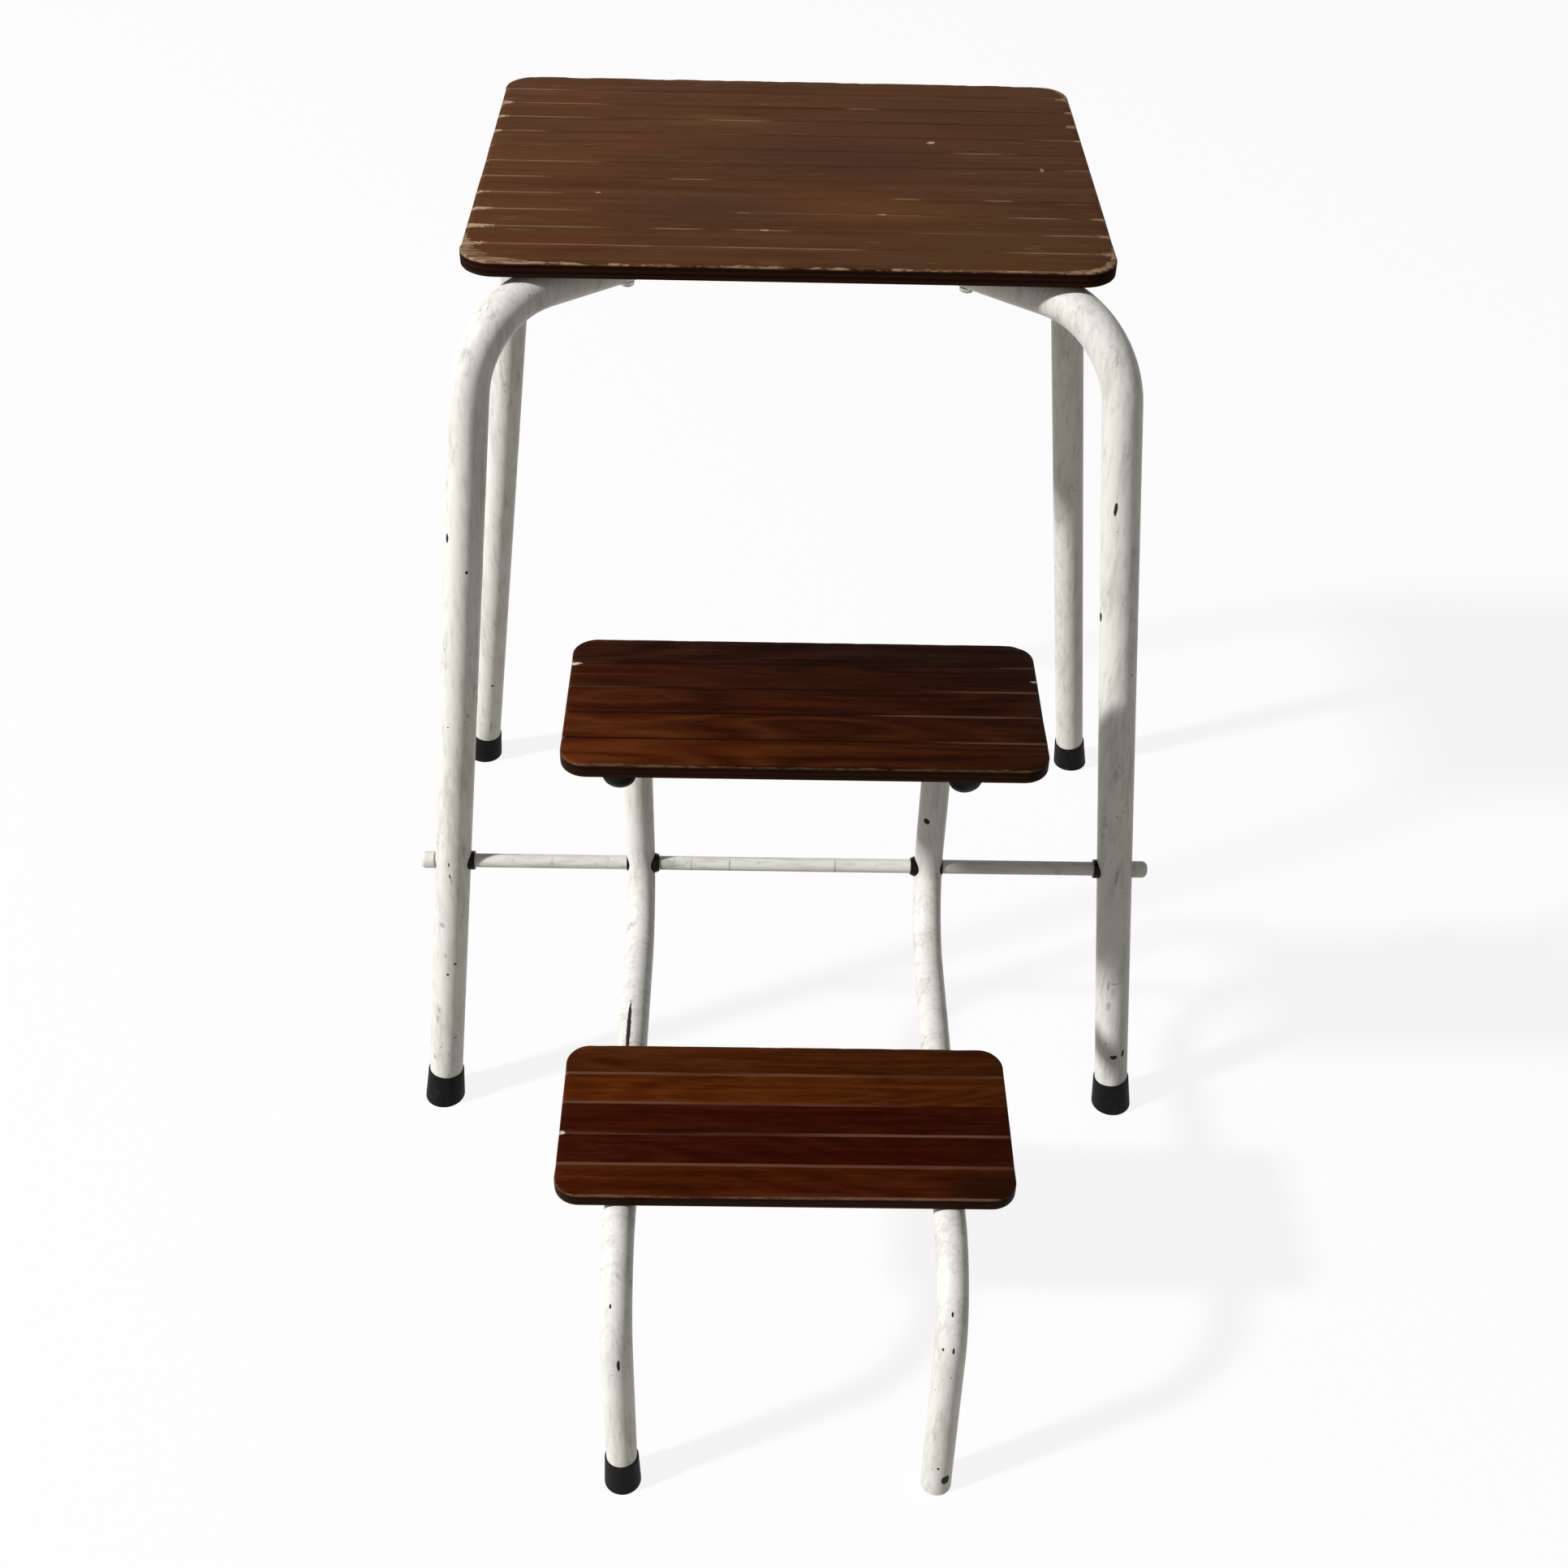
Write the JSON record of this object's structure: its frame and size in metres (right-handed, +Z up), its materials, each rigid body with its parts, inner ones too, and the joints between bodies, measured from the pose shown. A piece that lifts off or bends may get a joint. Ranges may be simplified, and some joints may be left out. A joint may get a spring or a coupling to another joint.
{
  "type": "folding step stool",
  "caption": "Folding step stool: slatted wooden seat on splayed tube legs, with a two-tread step unit that swings on a rod between the front legs.",
  "frame": {"origin": "middle of the whole footprint, on the floor, with the step unit folded out", "axes": "+X to the right of someone facing the seat from the steps, +Y from the steps to the rear legs, +Z up"},
  "size_m": [0.588, 0.8129, 0.643],
  "materials": {
    "enamel": "cream-white brushed enamel, scuffed and chipped",
    "seat_wood": "dark brown stain, satin, worn pale along its edges",
    "tread_wood": "red-brown stain, semi-gloss",
    "rubber": "matt black",
    "black_plastic": "matt black",
    "steel": "zinc-plated",
    "black_steel": "blackened spring steel"
  },
  "bodies": {
    "frame": {"seat_board": "seat_wood", "long_frame_tube": "enamel", "front_right_frame_tube": "enamel", "rear_left_frame_tube": "enamel", "seat_screws": "steel", "pivot_rod": "enamel", "left_rod_cap": "enamel", "right_rod_cap": "enamel", "left_leg_bush": "black_plastic", "right_leg_bush": "black_plastic", "left_rod_clip": "black_steel", "right_rod_clip": "black_steel", "front_left_foot": "rubber", "front_right_foot": "rubber", "rear_left_foot": "rubber", "rear_right_foot": "rubber"},
    "step_unit": {"left_stringer": "enamel", "right_stringer": "enamel", "upper_tread": "tread_wood", "lower_tread": "tread_wood", "upper_tread_screws": "steel", "lower_tread_screws": "steel", "left_stringer_bush": "black_plastic", "right_stringer_bush": "black_plastic", "left_end_plug": "black_plastic", "right_end_plug": "black_plastic", "left_step_foot": "rubber"}
  },
  "joints": [
    {"name": "step_fold", "type": "hinge", "parent": "frame", "child": "step_unit", "pos_m": [0, -0.03122, 0.224], "axis": [1, 0, 0], "range_deg": [0, 180]}
  ]
}
